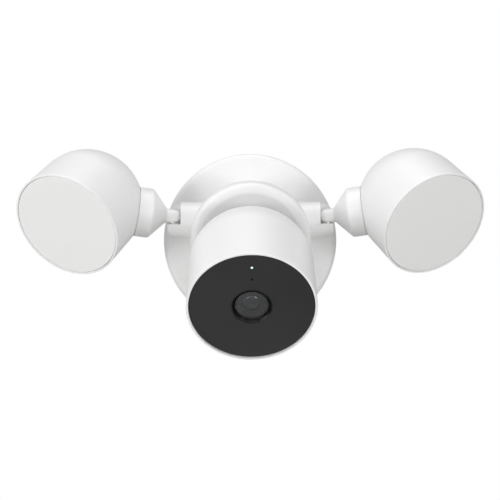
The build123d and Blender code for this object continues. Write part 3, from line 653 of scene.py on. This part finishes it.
@dataclass
class CameraHead:
    """The ball-ended camera: its shell, dark window, lens and electronics. Sizes are in millimetres."""

    wardrobe: Wardrobe
    window_front: float = 42.5
    ring_radius: float = 13.0
    ring_inner: float = 10.9
    ring_proud: float = 0.2
    ring_depth: float = 2.6
    ring_length: float = 4.0
    ring_round: float = 0.22
    ring_land: float = 0.5
    ring_foot: float = 0.1
    cover_radius: float = 10.6
    cover_edge: float = 41.2
    cover_rise: float = 2.4
    cover_thickness: float = 1.2
    cover_lip: float = 1.4
    barrel_radius: float = 9.2
    barrel_front: float = 39.6
    barrel_edge: float = 0.15
    barrel_shoulder: float = 35.0
    tail_radius: float = 7.0
    tail_back: float = 24.0
    mouth_radius: float = 8.6
    throat_radius: float = 5.6
    throat_floor: float = 38.2
    baffle_steps: int = 7
    element_radius: float = 5.4
    element_curve: float = 9.0
    element_top: float = 40.0

    def axes(self) -> Axes:
        """Axes at the ball's centre that look along the lens."""
        centre = np.array(joint("camera_tilt")["pos_m"])
        return Axes.along(centre, node_centre("front_window") - centre, np.array([1.0, 0.0, 0.0]))

    def build_ring(self) -> None:
        """The bezel: a rounded proud edge that falls inwards as a cone to the glass."""
        top, outer, inner = self.window_front + self.ring_proud, self.ring_radius, self.ring_inner
        edge, foot = self.ring_round, self.ring_foot
        profile = outline(
            line((outer, top - self.ring_length), (outer, top - edge)),
            arc((outer - edge, top - edge), (edge, edge), 0, 90, 6),
            line((outer - self.ring_land, top), (inner + foot, top - self.ring_depth + foot), 6),
            line((inner, top - self.ring_depth), (inner, top - self.ring_length)),
        )
        piece = surface("lens_bezel", turned(profile, self.axes(), closed=True))
        self.wardrobe.settle(piece, "camera", "black_plastic", BEZEL, "lens_ring")

    def build_cover(self) -> None:
        """A domed glass of even thickness: two caps of concentric spheres joined by a flat edge."""
        curve = (self.cover_radius ** 2 + self.cover_rise ** 2) / (2 * self.cover_rise)
        middle = self.cover_edge + self.cover_rise - curve
        reach = math.degrees(math.asin(self.cover_radius / curve))
        inner = curve - self.cover_thickness
        lip = self.cover_radius - self.cover_lip
        inner_reach = math.degrees(math.asin(lip / inner))
        floor = middle + inner * math.cos(math.radians(inner_reach))
        profile = outline(
            arc((0, middle), (curve, curve), 90, 90 - reach, 28),
            line((self.cover_radius, self.cover_edge), (self.cover_radius, floor)),
            line((self.cover_radius, floor), (lip, floor)),
            arc((0, middle), (inner, inner), 90 - inner_reach, 90, 24),
        )
        piece = surface("lens_glass_cover", turned(profile, self.axes()))
        self.wardrobe.settle(piece, "camera", "lens_glass", GLASS, "lens_cover")

    def build_barrel(self) -> None:
        """The barrel: a thread-like row of fine baffles steps down its conical mouth to the element."""
        front, back, shoulder = self.barrel_front, self.tail_back, self.barrel_shoulder
        outer, tail, edge = self.barrel_radius, self.tail_radius, self.barrel_edge
        run = np.linspace(0, 1, self.baffle_steps + 1)
        radius = self.mouth_radius + (self.throat_radius - self.mouth_radius) * run
        height = front + (self.throat_floor - front) * run
        baffles = np.stack([np.repeat(radius, 2)[:-1], np.repeat(height, 2)[1:]], axis=1)
        profile = outline(
            line((0, back), (tail, back)), line((tail, back), (tail, shoulder)),
            line((tail, shoulder), (outer, shoulder)), line((outer, shoulder), (outer, front - edge)),
            line((outer - edge, front), (self.mouth_radius, front)), baffles,
            line((self.throat_radius, self.throat_floor), (0, self.throat_floor)),
        )
        piece = surface("lens_barrel_body", turned(profile, self.axes()), sharp_degrees=25)
        self.wardrobe.settle(piece, "camera", "black_plastic", BLACK, "lens_barrel")

    def build_element(self) -> None:
        """The front element: a cap of a small sphere on a short drum."""
        reach = math.degrees(math.asin(self.element_radius / self.element_curve))
        middle = self.element_top - self.element_curve
        edge = middle + self.element_curve * math.cos(math.radians(reach))
        profile = outline(
            arc((0, middle), (self.element_curve, self.element_curve), 90, 90 - reach, 22),
            line((self.element_radius, edge), (self.element_radius, self.throat_floor)),
            line((self.element_radius, self.throat_floor), (0, self.throat_floor)),
        )
        piece = surface("lens_front_element", turned(profile, self.axes()))
        self.wardrobe.settle(piece, "camera", "lens_glass", ELEMENT, "lens_element")

    def build(self) -> None:
        """Builds the lens and dresses the rest of the head."""
        self.build_ring()
        self.build_cover()
        self.build_barrel()
        self.build_element()
        for node, finish in {
            "camera_shell": HOUSING, "front_window": WINDOW, "window_gasket": RUBBER, "image_sensor": BOARD,
            "camera_chassis": BLACK, "chassis_screws": PLATED, "infrared_emitters": PHOSPHOR,
            "status_light": STATUS, "microphone": BLACK, "main_board": BOARD, "battery_pack": WRAP,
            "speaker": BLACK, "steel_disc": STEEL, "power_port": PLATED, "reset_button": BLACK,
        }.items():
            self.wardrobe.dress_node(node, finish)


@dataclass
class Floodlight:
    """One lamp and the stem that carries it. Sizes are in millimetres."""

    wardrobe: Wardrobe
    side: Side
    ball: float = 38.2
    face_radius: float = 38.55
    face: float = 29.7
    wall: float = 2.4
    rim_width: float = 1.2
    rim_round: float = 0.5
    rim_inner_round: float = 0.2
    ledge: float = 25.7
    diffuser_radius: float = 37.05
    diffuser_front: float = 29.5
    diffuser_thickness: float = 2.6
    diffuser_round: float = 0.45
    skirt_outer: float = 35.2
    skirt_inner: float = 33.4
    skirt_length: float = 4.0

    def node(self, piece: str) -> str:
        """A node's full name on this side."""
        return f"{self.side.word}_{piece}"

    def axes(self) -> Axes:
        """Axes at the ball's centre that look out of the lamp."""
        centre = np.array(joint(self.node("lamp_turn"))["pos_m"])
        return Axes.along(centre, node_centre(self.node("led_board")) - centre, np.array([1.0, 0.0, 0.0]))

    def build_housing(self) -> None:
        """The bowl: a half ball behind, a slightly flared skirt, a rounded rim, and the same again inside."""
        inner, rim = self.ball - self.wall, self.face_radius - self.rim_width
        round_, fine = self.rim_round, self.rim_inner_round
        profile = outline(
            arc((0, 0), (self.ball, self.ball), -90, 0, 56),
            line((self.ball, 0), (self.face_radius, self.face - round_), 12),
            arc((self.face_radius - round_, self.face - round_), (round_, round_), 0, 90, 8),
            line((self.face_radius - round_, self.face), (rim + fine, self.face)),
            arc((rim + fine, self.face - fine), (fine, fine), 90, 180, 5),
            line((rim, self.face - fine), (rim, self.ledge)),
            line((rim, self.ledge), (inner, self.ledge)),
            line((inner, self.ledge), (inner, 0), 6),
            arc((0, 0), (inner, inner), 0, -90, 28),
        )
        piece = surface(self.node("lamp_bowl"), turned(profile, self.axes()))
        self.wardrobe.settle(piece, self.node("lamp"), "white_housing", HOUSING, self.node("lamp_housing"))

    def build_diffuser(self) -> None:
        """The frosted front: a flat disc with a rounded edge and a skirt ring behind it."""
        radius, front, round_ = self.diffuser_radius, self.diffuser_front, self.diffuser_round
        back = front - self.diffuser_thickness
        outer, inner, foot = self.skirt_outer, self.skirt_inner, back - self.skirt_length
        profile = outline(
            line((0, front), (radius - round_, front), 16),
            arc((radius - round_, front - round_), (round_, round_), 90, 0, 8),
            line((radius, front - round_), (radius, back)),
            line((radius, back), (outer, back)), line((outer, back), (outer, foot)),
            line((outer, foot), (inner, foot)), line((inner, foot), (inner, back)),
            line((inner, back), (0, back)),
        )
        piece = surface(self.node("lamp_front"), turned(profile, self.axes()))
        node = self.node("lamp_diffuser")
        self.wardrobe.settle(piece, self.node("lamp"), "frosted_diffuser", DIFFUSER, node)

    def build(self) -> None:
        """Builds the bowl and its front, and dresses the stem and what the lamp holds."""
        self.build_housing()
        self.build_diffuser()
        for piece, finish in {
            "stem": HOUSING, "stem_seal": RUBBER, "lamp_retainer": STEEL, "lamp_gasket": RUBBER,
            "led_board": LAMP_BOARD, "led_emitters": PHOSPHOR, "heat_sink": CAST,
        }.items():
            self.wardrobe.dress_node(self.node(piece), finish)


# --------------------------------------------------------------------------------------------- studio


@dataclass(frozen=True)
class Softbox:
    """A square area light: where it stands, what it looks at, its side in metres and its power in watts."""

    name: str
    place: tuple[float, float, float]
    size: float
    watts: float
    aim: tuple[float, float, float] = (0.0, -0.07, 0.0)

    def build(self) -> None:
        """Adds the light to the scene."""
        data = bpy.data.lights.new(self.name, "AREA")
        data.shape, data.size, data.energy = "SQUARE", self.size, self.watts
        light = bpy.data.objects.new(self.name, data)
        light.location = self.place
        away = np.array(self.place) - np.array(self.aim)
        light.rotation_euler = (
            math.acos(away[2] / np.linalg.norm(away)), 0.0, math.atan2(away[1], away[0]) + math.pi / 2)
        bpy.context.scene.collection.objects.link(light)


@dataclass
class Studio:
    """A floor, soft light and the camera. Places are in metres, turns in degrees, the lens in millimetres."""

    wardrobe: Wardrobe
    floor_height: float = -0.35
    floor_near: float = -1.6
    floor_far: float = 0.5
    floor_half_width: float = 1.3
    surround: float = 0.37
    camera_place: tuple[float, float, float] = (-0.006, -0.8787, 0.0232)
    camera_dip: float = 2.0
    camera_yaw: float = -0.395
    camera_roll: float = 0.2
    camera_lens: float = 84.96
    camera_sensor: float = 36.0
    floor_steps: int = 9

    def build_floor(self) -> None:
        """A flat sheet under the object, which is not part of it."""
        across = np.linspace(-self.floor_half_width, self.floor_half_width, self.floor_steps)
        along = np.linspace(self.floor_near, self.floor_far, self.floor_steps)
        x, y = np.meshgrid(across, along)
        points = np.stack([x, y, np.full_like(x, self.floor_height)], axis=-1)
        floor = surface("studio_floor", Grid(points, wrap_columns=False))
        self.wardrobe.dress(floor, FLOOR)

    def build_surround(self) -> None:
        """An even surround that lights the object softly and is white where the camera sees it."""
        world = bpy.data.worlds.new("soft_white_surround")
        bpy.context.scene.world = world
        world.use_nodes = True
        nodes, links = world.node_tree.nodes, world.node_tree.links
        nodes.clear()
        lit, seen = nodes.new("ShaderNodeBackground"), nodes.new("ShaderNodeBackground")
        lit.inputs["Strength"].default_value = self.surround
        seen.inputs["Strength"].default_value = 1.0
        for background in (lit, seen):
            background.inputs["Color"].default_value = (1.0, 1.0, 1.0, 1.0)
        mix, path = nodes.new("ShaderNodeMixShader"), nodes.new("ShaderNodeLightPath")
        links.new(path.outputs["Is Camera Ray"], mix.inputs[0])
        links.new(lit.outputs[0], mix.inputs[1])
        links.new(seen.outputs[0], mix.inputs[2])
        links.new(mix.outputs[0], nodes.new("ShaderNodeOutputWorld").inputs["Surface"])

    def build_camera(self) -> None:
        """A long lens level with the object that looks slightly down."""
        data = bpy.data.cameras.new("studio_camera")
        data.sensor_width, data.lens = self.camera_sensor, self.camera_lens
        camera = bpy.data.objects.new("studio_camera", data)
        camera.location = self.camera_place
        turns = (90 - self.camera_dip, self.camera_roll, self.camera_yaw)
        camera.rotation_euler = tuple(math.radians(turn) for turn in turns)
        bpy.context.scene.collection.objects.link(camera)
        bpy.context.scene.camera = camera

    def build(self) -> None:
        """Builds the floor, the surround, the softboxes and the camera."""
        self.build_floor()
        self.build_surround()
        for softbox in SOFTBOXES:
            softbox.build()
        self.build_camera()
        bpy.context.scene.view_settings.view_transform = "Standard"


SOFTBOXES = (
    Softbox("top_light", (0.0, -0.2, 1.6), 1.0, 10.8),
    Softbox("front_light", (0.0, -2.2, 0.5), 1.2, 4.8),
    Softbox("left_light", (-1.6, -0.6, 0.5), 0.8, 6.5),
    Softbox("low_right_light", (1.0, -1.6, -0.1), 0.4, 7.0),
    Softbox("low_left_light", (-1.0, -1.6, -0.1), 0.4, 7.6),
)


def main() -> None:
    """Builds each sub-assembly in order, then the studio."""
    wardrobe = Wardrobe()
    WallMount(wardrobe).build()
    Hub(wardrobe).build()
    CameraHead(wardrobe).build()
    for side in Side:
        Floodlight(wardrobe, side).build()
    Studio(wardrobe).build()


if __name__ == "__main__":
    main()
